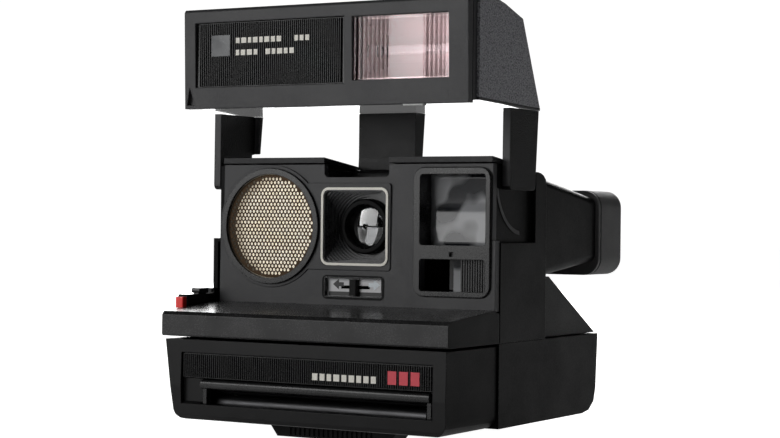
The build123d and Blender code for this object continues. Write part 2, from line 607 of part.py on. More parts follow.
# ---- flash --------------------------------------------------------------------------------
def flash_bezel():
    back = HOUSING_FRONT_Y - 0.05
    plate = side_prism([(12.8, FLASH_Z[0]), (11.8, FLASH_Z[1] - 1.0), (12.6, FLASH_Z[1]),
                        (back, FLASH_Z[1] + 0.5), (back, under_z(back)), (15.9, under_z(15.9)),
                        (15.9, FLASH_Z[0])], (-FLASH_HALF, FLASH_HALF))
    plate -= block((FLASH_HALF - 0.6, 70), (15.2, 15.7), (100, 160))
    plate -= block(GRIP_X, (10, 14.4), GRIP_Z)
    plate -= block((WINDOW_X[0] - 0.8, WINDOW_X[1] + 0.8), (14.8, 20), (WINDOW_Z[0] - 1.4, WINDOW_Z[1] + 1.4))
    plate -= block((WINDOW_X[0] - 0.2, WINDOW_X[1] + 0.2), (10, 20), (WINDOW_Z[0] - 0.2, WINDOW_Z[1] + 0.2))
    plate -= front_prism([(-58.4, 114.4), (-54.9, 114.4), (-57.2, 121.0)], (10, 14.4))
    plate -= front_prism([(-48.0, 132.0), (-39.0, 132.0), (-39.0, 139.8), (-48.0, 139.8)], (13.9, 14.2))
    return plate


def flash_grip_panel():
    back = block((GRIP_X[0] + 0.2, GRIP_X[1] - 0.2), (13.4, 14.35), (GRIP_Z[0] + 0.2, GRIP_Z[1] - 0.2))
    panel = back + ribs_x((GRIP_X[0] + 1.6, GRIP_X[1] - 1.6), (12.5, 13.5),
                          (GRIP_Z[0] + 1.4, GRIP_Z[1] - 1.2), 1.7)
    badge = block((-47.6, -38.9), (12.3, 13.4), (131.8, 140.0))
    return panel - badge


def flash_badge():
    return block((-47.4, -39.1), (12.35, 13.35), (132.0, 139.8))


def flash_window():
    return block(WINDOW_X, (12.7, 14.7), WINDOW_Z)


def flash_reflector():
    outer = side_prism([(16.4, 121.2), (24.0, 127.0), (27.6, 130.6), (27.6, 135.4), (24.0, 139.0),
                        (16.4, 144.8)], (WINDOW_X[0] - 0.6, WINDOW_X[1] + 0.6))
    inner = side_prism([(16.0, 122.4), (24.0, 128.2), (26.8, 131.4), (26.8, 134.6), (24.0, 137.8),
                        (16.0, 143.6)], WINDOW_X)
    holes = rod_x(2.4, (WINDOW_X[0] - 2, WINDOW_X[1] + 2), 23.6, 133.0)
    return outer - inner - holes


def flash_tube():
    tube = rod_x(1.5, (WINDOW_X[0] - 2.4, WINDOW_X[1] + 2.4), 23.6, 133.0)
    return tube


UNDER_FRONT_Z, UNDER_REAR_Z = 114.3, 113.0   # the underside rises a little to the front
PLATE = 1.05


def under_z(y):
    """Height of the flash's sloping underside at depth y."""
    share = min(max((y - 16.0) / 44.0, 0.0), 1.0)
    return UNDER_FRONT_Z + share * (UNDER_REAR_Z - UNDER_FRONT_Z)


def housing_outline(inset):
    front, back = HOUSING_FRONT_Y + inset, 65.8 - inset
    lift = PLATE + 0.05 + inset * 0.4
    return [(front, under_z(front) + lift), (front, FLASH_Z[1] - inset), (30.0, 150.4 - inset),
            (37.6 - inset * 0.3, 149.0 - inset), (51.5 - inset * 0.7, 145.0 - inset),
            (back, UNDER_REAR_Z + lift), (60.0, UNDER_REAR_Z + lift)]


HOUSING_X = (ARM_OUT_L, ARM_OUT_R)
HOLLOW_X = (-58.1, 58.5)


def left_flank_cut():
    """What the tapered left flank of the flash leaves out, so that the bezel hides it."""
    face = make_face(Polyline((-75, 10), (-60.1, 10), (-60.1, 20.0), (ARM_OUT_L, 42.0), (-75, 42.0), close=True))
    return Pos(0, 0, 100) * extrude(face, 60, dir=(0, 0, 1))


def flash_housing():
    shell = side_prism(housing_outline(0), HOUSING_X)
    shell -= side_prism(housing_outline(2.0), HOLLOW_X)
    shell -= block((GRIP_X[0], WINDOW_X[1] + 1.5), (15, 21.5), (119.0, 146.0))
    shell -= block(HOLLOW_X, (20.0, 64.0), (110, 116.3))
    return shell - left_flank_cut()


def flash_underside():
    front = HOUSING_FRONT_Y
    plate = side_prism([(front, under_z(front)), (60.0, UNDER_REAR_Z), (66.0, UNDER_REAR_Z),
                        (66.0, UNDER_REAR_Z + PLATE), (60.0, UNDER_REAR_Z + PLATE),
                        (front, under_z(front) + PLATE)], HOUSING_X)
    plate -= block((-30.0, -6.0), (28.0, 28.8), (112, 114.4))
    return plate - left_flank_cut()


def flash_arm(outer, inward, thick):
    """A side arm: a tapering strap up to the flash, with a short stub shaft pointing inward."""
    inner = outer + inward * thick
    low, high = min(outer, inner), max(outer, inner)
    y_pivot, z_pivot = FOLD_AXIS
    strap = side_prism([(ARM_Y[0], ARM_LOW_Z), (62.6, ARM_LOW_Z), (65.0, 112.95), (42.5, 112.95)], (low, high))
    strap = fillet(strap.edges().filter_by(Axis.X).group_by(Axis.Z)[0], 2.0)
    if inward > 0:
        strap += side_prism([(60.0, 97.2), (66.6, 98.4), (68.2, 112.95), (60.0, 112.95)], (low, high))
        strap += side_prism([(65.2, 98.2), (66.6, 98.4), (68.2, 112.95), (65.8, 112.95)], (high - 0.1, high + 2.0))
    stub_end = inner + inward * 2.6
    stub = rod_x(STUB_R, (min(inner, stub_end), max(inner, stub_end)), y_pivot, z_pivot)
    return strap + stub


def flash_column():
    y_pivot, z_pivot = FOLD_AXIS
    x = (COLUMN_X[0], COLUMN_X[1])
    post = side_prism([(58.6, 90.4), (COLUMN_Y[0], 96.0), (COLUMN_Y[0], 112.95), (66.2, 112.95), (64.6, 96.0),
                       (61.0, 89.0)], x)
    hub = rod_x(3.4, x, y_pivot, z_pivot)
    return post + hub


def flash_capacitor():
    return rod_x(9.0, (-44.0, 2.0), 40.0, 127.6)


def flash_board():
    return block((-52.0, 50.0), (21.0, 60.0), (116.6, 117.8)) + block((14.0, 30.0), (36.0, 50.0), (117.6, 124.0))


def door_latch():
    tab = block((SIDE_L - 1.2, SIDE_L + 3.2), (41.4, 49.0), (11.4, 18.6))
    for i in range(4):
        tab -= block((SIDE_L - 2, SIDE_L - 0.6), (42.2 + i * 1.6, 42.9 + i * 1.6), (11.0, 19.0))
    return tab


def build():
    put(front_panel(), "front_panel")
    put(top_cover(), "top_cover")
    put(rear_cover(), "rear_cover")
    put(mirror_housing(), "mirror_housing")
    put(film_chamber(), "film_chamber")
    put(front_shelf(), "front_shelf")
    put(transducer_ring(), "transducer_ring")
    put(transducer_foil(), "transducer_foil")
    put(transducer_grille(), "transducer_grille")
    put(lens_trim(), "lens_trim")
    put(lens_hood(), "lens_hood")
    put(lens_barrel(), "lens_barrel")
    put(front_lens(), "front_lens")
    put(shutter_plate(), "shutter_plate")
    put(viewfinder_frame(), "viewfinder_frame")
    put(viewfinder_lens(), "viewfinder_lens")
    put(finder_tunnel(), "finder_tunnel")
    put(viewfinder_tube(), "viewfinder_tube")
    put(viewfinder_eye_lens(), "viewfinder_eye_lens")
    put(eyecup(), "eyecup")
    put(photocell_window(), "photocell_window")
    put(photocell(), "photocell")
    put(exposure_track(), "exposure_track")
    put(button_housing(), "button_housing")
    put(mirror(), "mirror")
    put(light_cone(), "light_cone")
    put(main_board(), "main_board")
    put(film_pack(), "film_pack")
    put(counter_window(), "counter_window")

    put(flash_bezel(), "flash_bezel")
    put(flash_grip_panel(), "flash_grip_panel")
    put(flash_badge(), "flash_badge")
    put(flash_window(), "flash_window")
    put(flash_reflector(), "flash_reflector")
    put(flash_tube(), "flash_tube")
    put(flash_housing(), "flash_housing")
    put(flash_underside(), "flash_underside")
    put(flash_arm(ARM_OUT_L, 1, ARM_THICK_L), "flash_left_arm")
    put(flash_arm(ARM_OUT_R, -1, ARM_THICK_R), "flash_right_arm")
    put(flash_column(), "flash_column")
    put(flash_capacitor(), "flash_capacitor")
    put(flash_board(), "flash_board")

    put(door_cover(), "door_cover")
    put(door_grip_panel(), "door_grip_panel")
    put(slot_lip(), "slot_lip")
    put(roller_carriage(), "roller_carriage")
    put(door_foot(), "door_foot")
    put(drive_motor(), "drive_motor")

    put(roller(NIP_Z + ROLLER_R + 0.1, 0), "upper_roller")
    put(roller(NIP_Z - ROLLER_R - 0.1, 15), "lower_roller")
    put(focus_disc(), "focus_disc")
    put(Compound(children=[focus_lens(i) for i in range(4)]), "focus_lenses")
    put(shutter_blade(-1), "shutter_blade_left")
    put(shutter_blade(1), "shutter_blade_right")
    put(photocell_vane(), "photocell_vane")
    put(exposure_slider(), "exposure_slider")
    put(shutter_button(), "shutter_button")
    put(door_latch(), "door_latch")
    put(counter_dial(), "counter_dial")
    put(override_button(), "override_button")


os.makedirs("parts", exist_ok=True)
build()
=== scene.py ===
"""Looks of the folding-flash instant camera: moulded black plastics, ribbed grips, the gold
rangefinder mesh, glass, the pink flash window and the printed marks, built on the CAD frame."""
import bpy
import bmesh
import math
from mathutils import Matrix, Vector


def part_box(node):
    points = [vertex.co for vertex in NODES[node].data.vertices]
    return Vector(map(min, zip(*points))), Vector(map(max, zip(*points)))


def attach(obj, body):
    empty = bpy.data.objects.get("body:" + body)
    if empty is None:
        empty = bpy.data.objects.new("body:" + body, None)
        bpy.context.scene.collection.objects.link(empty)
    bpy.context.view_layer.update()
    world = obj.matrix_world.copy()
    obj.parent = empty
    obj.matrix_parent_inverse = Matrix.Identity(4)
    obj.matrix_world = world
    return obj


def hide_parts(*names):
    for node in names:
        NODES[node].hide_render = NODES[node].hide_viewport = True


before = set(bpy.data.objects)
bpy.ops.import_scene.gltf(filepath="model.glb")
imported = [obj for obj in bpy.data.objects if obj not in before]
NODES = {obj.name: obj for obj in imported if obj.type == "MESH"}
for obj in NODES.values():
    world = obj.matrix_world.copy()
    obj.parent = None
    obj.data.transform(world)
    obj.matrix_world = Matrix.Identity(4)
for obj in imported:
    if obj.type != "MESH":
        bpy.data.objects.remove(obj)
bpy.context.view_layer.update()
MM = 0.001

SHELF_RIGHT, SHELF_FRONT, SHELF_UNDER = 59.1, 0.3, 30.0
shelf_low, shelf_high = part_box("front_shelf")
ORIGIN = Vector((shelf_high.x - SHELF_RIGHT * MM, shelf_low.y - SHELF_FRONT * MM,
                 shelf_low.z - SHELF_UNDER * MM))
LENS_MIDDLE = (1.2, 70.4)
RING_MIDDLE = (-35.5, 70.2)


def at(x, y, z):
    """A point given in millimetres from the middle of the shelf's front and the body's underside."""
    return ORIGIN + Vector((x, y, z)) * MM


# ---- materials ------------------------------------------------------------------------
class Shader:
    """A node tree with one Principled shader, built up in steps."""

    def __init__(self, name, colour, roughness, **values):
        self.material = bpy.data.materials.new(name)
        self.material.use_nodes = True
        self.tree = self.material.node_tree
        self.shader = self.tree.nodes["Principled BSDF"]
        self.set("Base Color", (*colour, 1.0))
        self.set("Roughness", roughness)
        for key, value in values.items():
            self.set(key.replace("_", " "), value)
        self.place = self.node("ShaderNodeTexCoord").outputs["Object"]

    def node(self, kind, **settings):
        """A new node with its settings."""
        made = self.tree.nodes.new(kind)
        for key, value in settings.items():
            setattr(made, key, value)
        return made

    def set(self, socket, value):
        self.shader.inputs[socket].default_value = value

    def link(self, source, target):
        self.tree.links.new(source, target)

    def noise(self, size_mm, detail=2.0, rough=0.5, stretch=(1, 1, 1)):
        """Noise whose features are about size_mm across."""
        mapping = self.node("ShaderNodeMapping")
        mapping.inputs["Scale"].default_value = stretch
        self.link(self.place, mapping.inputs["Vector"])
        made = self.node("ShaderNodeTexNoise")
        made.inputs["Scale"].default_value = 1.0 / (size_mm * MM)
        made.inputs["Detail"].default_value = detail
        made.inputs["Roughness"].default_value = rough
        self.link(mapping.outputs["Vector"], made.inputs["Vector"])
        return made.outputs["Fac"]

    def ramp(self, source, low, high, start=0.0, end=1.0):
        """Maps source between start and end to low and high."""
        made = self.node("ShaderNodeMapRange")
        for key, value in (("From Min", start), ("From Max", end), ("To Min", low), ("To Max", high)):
            made.inputs[key].default_value = value
        self.link(source, made.inputs["Value"])
        return made.outputs["Result"]

    def vary_colour(self, source, dark, light, start=0.3, end=0.7):
        """Base colour that runs from dark to light as source goes from start to end."""
        mix = self.node("ShaderNodeMix", data_type="RGBA")
        mix.inputs["A"].default_value = (*dark, 1.0)
        mix.inputs["B"].default_value = (*light, 1.0)
        self.link(self.ramp(source, 0.0, 1.0, start, end), mix.inputs["Factor"])
        self.link(mix.outputs["Result"], self.shader.inputs["Base Color"])

    def vary_roughness(self, source, low, high, start=0.3, end=0.7):
        self.link(self.ramp(source, low, high, start, end), self.shader.inputs["Roughness"])

    def bump(self, source, depth_mm, strength=1.0, edge_mm=0.0):
        """Bump from source, on top of softly rounded edges when edge_mm is given."""
        made = self.node("ShaderNodeBump")
        made.inputs["Strength"].default_value = strength
        made.inputs["Distance"].default_value = depth_mm * MM
        self.link(source, made.inputs["Height"])
        if edge_mm:
            bevel = self.node("ShaderNodeBevel", samples=4)
            bevel.inputs["Radius"].default_value = edge_mm * MM
            self.link(bevel.outputs["Normal"], made.inputs["Normal"])
        self.link(made.outputs["Normal"], self.shader.inputs["Normal"])


def plastic(name, colour, roughness, grain_mm, grain_depth, edge_mm=0.35, gloss=0.45, patch=0.25):
    """Moulded plastic: grain, slow changes of shade and polish, and rounded edges."""
    look = Shader(name, colour, roughness, Specular_IOR_Level=gloss)
    grain = look.noise(grain_mm, 3.0, 0.6)
    slow = look.noise(14.0, 3.0, 0.55)
    dark = [c * (1 - patch) for c in colour]
    light = [c * (1 + patch) for c in colour]
    look.vary_colour(slow, dark, light)
    mixed = look.node("ShaderNodeMath", operation="ADD")
    look.link(look.ramp(slow, -0.05, 0.05, 0.3, 0.7), mixed.inputs[0])
    look.link(look.ramp(grain, roughness - 0.06, roughness + 0.06, 0.35, 0.65), mixed.inputs[1])
    look.link(mixed.outputs[0], look.shader.inputs["Roughness"])
    look.bump(grain, grain_depth, 0.8, edge_mm)
    return look.material


def pebbled(name, colour, roughness, gloss=0.4):
    """Coarse cast-leather grain: rounded cells, with painted highlight on their bright tops and painted
    shade in the hollows.
    """
    look = Shader(name, colour, roughness, Specular_IOR_Level=gloss)
    cells = look.node("ShaderNodeTexVoronoi", feature="SMOOTH_F1")
    cells.inputs["Scale"].default_value = 1.0 / (0.55 * MM)
    cells.inputs["Smoothness"].default_value = 0.6
    look.link(look.place, cells.inputs["Vector"])
    fine = look.noise(0.3, 2.0)
    height = look.node("ShaderNodeMath", operation="MULTIPLY_ADD")
    look.link(cells.outputs["Distance"], height.inputs[0])
    height.inputs[1].default_value = -1.0
    look.link(fine, height.inputs[2])
    # painted highlight and shade: the colour follows the relief, lighter on the cell tops and darker in
    # the hollows
    look.vary_colour(height.outputs[0], [c * 0.5 for c in colour], [c * 1.9 for c in colour], -0.25, 0.4)
    look.vary_roughness(fine, roughness - 0.08, roughness + 0.08)
    look.bump(height.outputs[0], 0.16, 1.0, 0.4)
    return look.material


def glossy(name, colour, roughness=0.12):
    """Polished plastic with fine upright scratches."""
    look = Shader(name, colour, roughness, Specular_IOR_Level=0.5)
    slow = look.noise(9.0, 4.0, 0.6)
    look.vary_colour(slow, [c * 0.85 for c in colour], [c * 1.2 for c in colour])
    look.vary_roughness(slow, roughness * 0.7, roughness * 1.5)
    look.bump(look.noise(0.8, 2.0, 0.5, (1, 1, 0.06)), 0.006, 0.6, 0.3)
    return look.material


def metal(name, colour, roughness=0.3, brushed=(0.04, 1, 1), depth=0.01):
    """Metal with fine lines along the axis that brushed stretches."""
    look = Shader(name, colour, roughness, Metallic=1.0)
    lines = look.noise(0.4, 3.0, 0.6, brushed)
    look.vary_colour(lines, [c * 0.85 for c in colour], [min(c * 1.1, 1.0) for c in colour])
    look.vary_roughness(lines, roughness * 0.7, roughness * 1.3)
    look.bump(lines, depth, 0.5, 0.2)
    return look.material


def lit_metal(name, colour, roughness, glow):
    """Polished face with a painted reflection of the white backdrop: a near-white mirror colour, and a
    white glow that only the camera sees.
    """
    look = Shader(name, colour, roughness, Metallic=1.0)
    slow = look.noise(9.0, 2.0)
    look.vary_colour(slow, [c * 0.9 for c in colour], colour)
    look.set("Emission Color", (1, 1, 1, 1))
    seen = look.node("ShaderNodeLightPath")
    look.link(look.ramp(seen.outputs["Is Camera Ray"], 0.0, glow), look.shader.inputs["Emission Strength"])
    return look.material


def glass(name, colour, roughness=0.02, ior=1.5, coat=0.0):
    """Clear glass or plastic, uneven only in its polish."""
    look = Shader(name, colour, roughness, Transmission_Weight=1.0, IOR=ior, Coat_Weight=coat)
    slow = look.noise(6.0, 2.0)
    look.vary_roughness(slow, roughness, roughness * 2 + 0.01)
    return look.material


def finder_optic(name):
    """Grey moulded lens with broad soft reflections of a room painted into its colour."""
    look = Shader(name, (0.2, 0.2, 0.21), 0.08, Transmission_Weight=0.05, IOR=1.5,
                  Specular_IOR_Level=0.3, Coat_Weight=0.25)
    painted_reflections = look.noise(19.0, 1.0, 0.4, (1.2, 1.0, 1.3))
    # painted reflections: broad light and dark patches in the base colour stand in for a room mirrored in
    # the lens
    look.vary_colour(painted_reflections, (0.010, 0.011, 0.014), (0.27, 0.275, 0.285), 0.40, 0.46)
    look.vary_roughness(look.noise(5.0, 2.0), 0.05, 0.12)
    return look.material


def foil(name):
    """Crinkled gold film with a painted glow: an even warm emission makes it bright all over."""
    look = Shader(name, (0.98, 0.92, 0.78), 0.34, Metallic=0.5)
    slow = look.noise(7.0, 3.0, 0.6)
    look.vary_colour(slow, (0.95, 0.84, 0.62), (1.0, 0.97, 0.88))
    look.vary_roughness(slow, 0.28, 0.42)
    look.bump(look.noise(2.4, 2.0), 0.12, 0.5)
    # painted light: a warm glow over the whole foil stands in for the light its crinkles catch
    look.set("Emission Color", (1.0, 0.88, 0.68, 1.0))
    look.set("Emission Strength", 0.42)
    return look.material


def printed(name, colour, roughness=0.45):
    """Printing ink with a slightly broken, uneven coat."""
    look = Shader(name, colour, roughness, Specular_IOR_Level=0.4)
    specks = look.noise(0.35, 3.0, 0.65)
    look.vary_colour(specks, [c * 0.86 for c in colour], colour)
    look.bump(specks, 0.01, 0.5)
    return look.material


MATERIALS = {
    "panel": plastic("panel_plastic", (0.027, 0.027, 0.029), 0.50, 0.55, 0.03),
    "shelf": plastic("shelf_plastic", (0.017, 0.017, 0.0175), 0.24, 0.5, 0.006),
    "body": plastic("body_plastic", (0.0035, 0.0035, 0.0037), 0.42, 0.5, 0.03, 0.45, 0.07),
    "deck": plastic("back_plastic", (0.0046, 0.0046, 0.0048), 0.46, 0.5, 0.03, 0.6, 0.15),
    "door": plastic("door_plastic", (0.0062, 0.0062, 0.0065), 0.42, 0.5, 0.025, 0.5, 0.2),
    "bezel": plastic("bezel_plastic", (0.030, 0.030, 0.032), 0.50, 0.55, 0.035, 0.6),
    "pebble": pebbled("pebbled_plastic", (0.27, 0.27, 0.29), 0.5),
    "arm": pebbled("arm_plastic", (0.004, 0.004, 0.0043), 0.46, 0.12),
    "rim": plastic("rim_plastic", (0.012, 0.012, 0.0125), 0.30, 0.5, 0.006),
    "hood": plastic("hood_plastic", (0.05, 0.05, 0.052), 0.30, 0.5, 0.006, 0.0),
    "ribs": plastic("rib_plastic", (0.007, 0.007, 0.0075), 0.30, 0.5, 0.004, 0.0),
    "soft": plastic("inner_plastic", (0.004, 0.004, 0.0042), 0.60, 0.4, 0.01, 0.0, 0.2),
    "cup": plastic("cup_rubber", (0.085, 0.085, 0.086), 0.58, 0.40, 0.04, 0.8, 0.35),
    "gloss": glossy("gloss_plastic", (0.004, 0.004, 0.0045)),
    "column": plastic("column_plastic", (0.005, 0.005, 0.0055), 0.38, 0.5, 0.006, 0.2, 0.18),
    # painted reflection: the dark glossy underside is drawn as a near-white mirror that glows to the
    # camera
    "under": lit_metal("underside_painted_reflection", (0.92, 0.93, 0.94), 0.10, 0.10),
    "mirror": metal("mirror_silver", (0.92, 0.92, 0.93), 0.04, (1, 1, 1), 0.001),
    "steel": metal("roller_steel", (0.05, 0.05, 0.052), 0.4),
    "chrome": metal("reflector_chrome", (1.0, 0.86, 0.86), 0.5, (1, 0.05, 0.05), 0.004),
    "mesh": metal("mesh_metal", (0.045, 0.030, 0.019), 0.5, (1, 1, 1)),
    "foil": foil("gold_foil"),
    "lens": glass("lens_glass", (0.97, 0.98, 1.0), 0.01, 1.52, 0.6),
    "pane": glass("clear_pane", (0.80, 0.81, 0.82), 0.01, 1.46),
    "pink": glass("flash_window_plastic", (1.0, 0.90, 0.91), 0.03, 1.46),
    "tube": glass("tube_glass", (0.98, 0.98, 1.0), 0.02, 1.5),
    "cream": printed("cream_ink", (0.98, 0.95, 0.86)),
    "red_ink": printed("red_ink", (0.80, 0.08, 0.11)),
    "grey_ink": printed("grey_ink", (0.035, 0.035, 0.035)),
    "pale_ink": printed("pale_ink", (0.80, 0.86, 0.90)),
    "red": glossy("red_button", (0.95, 0.03, 0.025), 0.3),
    "white": plastic("white_plastic", (0.60, 0.60, 0.61), 0.42, 0.5, 0.006, 0.1, 0.45, 0.08),
    "finder": finder_optic("finder_optic"),
    "eye": glass("eye_glass", (0.30, 0.31, 0.33), 0.02, 1.5),
    "roof": plastic("roof_plastic", (0.011, 0.011, 0.012), 0.42, 0.55, 0.02, 0.35, 0.25),
    "board": glossy("circuit_board", (0.02, 0.09, 0.04), 0.3),
    "badge": glossy("badge_plate", (0.045, 0.05, 0.055), 0.3),
    "tab": plastic("tab_plastic", (0.50, 0.51, 0.50), 0.4, 0.5, 0.01),
}

NODE_MATERIAL = {
    "front_panel": "panel", "top_cover": "roof", "rear_cover": "body", "mirror_housing": "deck",
    "film_chamber": "body", "front_shelf": "shelf", "transducer_ring": "rim", "transducer_foil": "foil",
    "lens_trim": "cream", "lens_hood": "hood", "lens_barrel": "body", "shutter_plate": "soft",
    "viewfinder_frame": "rim", "finder_tunnel": "soft", "viewfinder_tube": "body",
    "viewfinder_eye_lens": "eye", "eyecup": "cup", "photocell_window": "finder", "photocell": "gloss",
    "exposure_track": "white", "button_housing": "gloss", "mirror": "mirror", "light_cone": "soft",
    "main_board": "board", "film_pack": "soft", "counter_window": "pane", "flash_bezel": "bezel",
    "flash_badge": "badge", "flash_reflector": "chrome", "flash_tube": "tube", "flash_housing": "pebble",
    "flash_underside": "under", "flash_left_arm": "arm", "flash_right_arm": "arm",
    "flash_column": "column", "flash_capacitor": "gloss", "flash_board": "board", "door_cover": "door",
    "slot_lip": "rim", "roller_carriage": "steel", "door_foot": "soft", "drive_motor": "steel",
    "upper_roller": "steel", "lower_roller": "steel", "focus_disc": "soft", "focus_lenses": "lens",
    "shutter_blade_left": "soft", "shutter_blade_right": "soft", "photocell_vane": "ribs",
    "exposure_slider": "soft", "shutter_button": "red", "override_button": "gloss",
    "door_latch": "rim", "counter_dial": "white", "viewfinder_lens": "pane", "front_lens": "lens",
    "flash_window": "pink", "door_grip_panel": "ribs", "flash_grip_panel": "ribs",
    "transducer_grille": "mesh",
}


def dress(node, material, second=None, where=None):
    """Give a CAD node its material, and a second one to the faces that where() picks."""
    mesh = NODES[node].data
    mesh.materials.clear()
    mesh.materials.append(MATERIALS[material])
    if second:
        mesh.materials.append(MATERIALS[second])
    for face in mesh.polygons:
        face.material_index = 1 if second and where(face) else 0


for node, material in NODE_MATERIAL.items():
    dress(node, material)
# painted light: the front faces of the flash arms get the lighter bezel plastic, lighter than the arms'
# sides
for node in ("flash_left_arm", "flash_right_arm"):
    dress(node, "arm", "bezel", lambda face: face.normal.y < -0.9)
# painted reflection: the downward faces of the flash underside get the near-white glowing mirror
dress("flash_underside", "bezel", "under", lambda face: face.normal.z < -0.6)
# painted shade: the side faces of the shelf and the film door get the darker body plastic, darker than
# their fronts
for node in ("front_shelf", "door_cover"):
    dress(node, NODE_MATERIAL[node], "body", lambda face: abs(face.normal.x) > 0.9)

tray_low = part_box("exposure_track")[0]
TRAY_EDGE, TRAY_LIP = 1.2 * MM, 1.0 * MM
dress("exposure_track", "white", "gloss",
      lambda face: face.center.x < tray_low.x + TRAY_EDGE or face.center.y < tray_low.y + TRAY_LIP
      or abs(face.normal.x) > 0.9)

POCKET_RIM_X, POCKET_RIM_WIDTH = 57.12, 0.2 * MM
pocket_rim = at(POCKET_RIM_X, 0, 0).x
dress("rear_cover", "body", "bezel",
      lambda face: pocket_rim < face.center.x < pocket_rim + POCKET_RIM_WIDTH and face.normal.x > 0.9)


# ---- mesh helpers -----------------------------------------------------------------------
def piece(name, verts, faces, body, material, replaces=(), smooth=False):
    """A new mesh in the row frame that rides on a body."""
    mesh = bpy.data.meshes.new(name)
    mesh.from_pydata([tuple(v) for v in verts], [], faces)
    mesh.validate()
    made = bpy.data.objects.new(name, mesh)
    bpy.context.scene.collection.objects.link(made)
    mesh.materials.append(MATERIALS[material])
    mesh.polygons.foreach_set("use_smooth", [smooth] * len(mesh.polygons))
    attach(made, body)
    if replaces:
        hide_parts(*replaces)
    return made


def face_outward(made):
    """Turn every face of a mesh outward."""
    edit = bmesh.new()
    edit.from_mesh(made.data)
    bmesh.ops.recalc_face_normals(edit, faces=edit.faces)
    edit.to_mesh(made.data)
    edit.free()


class Build:
    """Collects closed solids into one mesh."""

    def __init__(self):
        self.verts, self.faces = [], []

    def prism(self, outline, shift):
        """A closed prism: an outline of points, and the same outline moved by shift."""
        first, count = len(self.verts), len(outline)
        self.verts += [Vector(p) for p in outline] + [Vector(p) + shift for p in outline]
        self.faces.append(tuple(range(first + count - 1, first - 1, -1)))
        self.faces.append(tuple(range(first + count, first + 2 * count)))
        for i in range(count):
            j = (i + 1) % count
            self.faces.append((first + i, first + j, first + count + j, first + count + i))

    def box(self, low, high):
        """A closed box between two corners."""
        a, b = Vector(low), Vector(high)
        base = [(a.x, a.y, a.z), (b.x, a.y, a.z), (b.x, b.y, a.z), (a.x, b.y, a.z)]
        self.prism(base, Vector((0, 0, b.z - a.z)))

    def done(self, name, body, material, replaces=()):
        """Make the piece from what was collected."""
        face_outward(piece(name, self.verts, self.faces, body, material, replaces))


def ribbed_panel(name, node, pitch_mm, depth_mm, margin_mm, body):
    """A backing plate with rounded upright ribs, in the place of a plainer CAD insert."""
    low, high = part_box(node)
    depth = depth_mm * MM
    root = low.y + depth + 0.02 * MM
    end_gap = 0.25 * MM
    rib_share = 0.29
    build = Build()
    build.box((low.x, low.y + depth, low.z), high)
    x0, x1 = low.x + margin_mm * MM, high.x - margin_mm * MM
    z0, z1 = low.z + end_gap, high.z - end_gap
    count = round((x1 - x0) / (pitch_mm * MM))
    step = (x1 - x0) / count
    half = step * rib_share
    for i in range(count):
        middle = x0 + (i + 0.5) * step
        outline = [(middle - half, root, z0)]
        for j in range(6):
            angle = math.pi * j / 5
            outline.append((middle - half * math.cos(angle), low.y + half * (1 - math.sin(angle)), z0))
        outline.append((middle + half, root, z0))
        build.prism(outline, Vector((0, 0, z1 - z0)))
    build.done(name, body, "ribs", replaces=(node,))


def rangefinder_mesh():
    """Perforated disc: a fine triangular grid of round holes in a plain rim."""
    low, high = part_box("transducer_grille")
    centre = (low + high) / 2
    radius, pitch, sides = (high.x - low.x) / 2, 1.56 * MM, 12
    hole = pitch * 0.39
    row_pitch = pitch * 0.866
    front, back = low.y, low.y + 0.35 * MM
    verts, faces = [], []
    rows = int(radius / row_pitch) + 2
    corner = [math.radians(30 + 60 * k) for k in range(6)]
    for row in range(-rows, rows + 1):
        for col in range(-rows, rows + 1):
            cx = (col + (row % 2) / 2) * pitch
            cz = row * row_pitch
            if math.hypot(cx, cz) > radius - 0.55 * pitch:
                continue
            outer = [(cx + pitch / math.sqrt(3) * math.cos(a), cz + pitch / math.sqrt(3) * math.sin(a))
                     for a in corner]
            ring = []
            for k in range(6):
                ax, az = outer[k]
                bx, bz = outer[(k + 1) % 6]
                ring += [(ax, az), ((ax + bx) / 2, (az + bz) / 2)]
            inner = [(cx + hole * math.cos(math.radians(30 + 360 * k / sides)),
                      cz + hole * math.sin(math.radians(30 + 360 * k / sides))) for k in range(sides)]
            first = len(verts)
            for y in (front, back):
                verts += [Vector((centre.x + x, y, centre.z + z)) for x, z in ring + inner]
            step = 2 * sides
            for k in range(sides):
                m = (k + 1) % sides
                faces.append((first + k, first + m, first + sides + m, first + sides + k))
                faces.append((first + sides + k, first + sides + m, first + step + sides + m,
                              first + step + sides + k))
                faces.append((first + step + m, first + step + k, first + step + sides + k,
                              first + step + sides + m))
    made = piece("rangefinder_mesh", verts, faces, "body", "mesh",
                 replaces=("transducer_grille",))
    edit = bmesh.new()
    edit.from_mesh(made.data)
    bmesh.ops.remove_doubles(edit, verts=edit.verts, dist=0.02 * MM)
    boundary = [e for e in edit.edges if e.is_boundary]
    grown = bmesh.ops.extrude_edge_only(edit, edges=boundary)
    for v in (g for g in grown["geom"] if isinstance(g, bmesh.types.BMVert)):
        away = Vector((v.co.x - centre.x, 0, v.co.z - centre.z))
        v.co += away.normalized() * max(radius - away.length, 0)
    bmesh.ops.recalc_face_normals(edit, faces=edit.faces)
    edit.to_mesh(made.data)
    edit.free()


def flash_window():
    """Clear window with upright flutes near both ends and a plain middle."""
    low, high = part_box("flash_window")
    width, flute = high.x - low.x, 1.75 * MM
    left_end, right_end = low.x + 0.36 * width, high.x - 0.30 * width
    outline = [(low.x, high.y), (low.x, low.y + 0.7 * MM)]
    x = low.x
    while x < high.x - flute * 0.9:
        if x < left_end or x > right_end:
            for j in range(1, 6):
                share = j / 5
                bulge = math.sin(math.pi * share) * 0.6 * MM
                outline.append((x + flute * share, low.y + 0.65 * MM - bulge))
        else:
            outline.append((x + flute, low.y + 0.45 * MM))
        x += flute
    outline += [(high.x, low.y + 0.7 * MM), (high.x, high.y)]
    build = Build()
    build.prism([(px, py, low.z) for px, py in outline], Vector((0, 0, high.z - low.z)))
    build.done("flash_window_fluted", "flash", "pink", replaces=("flash_window",))


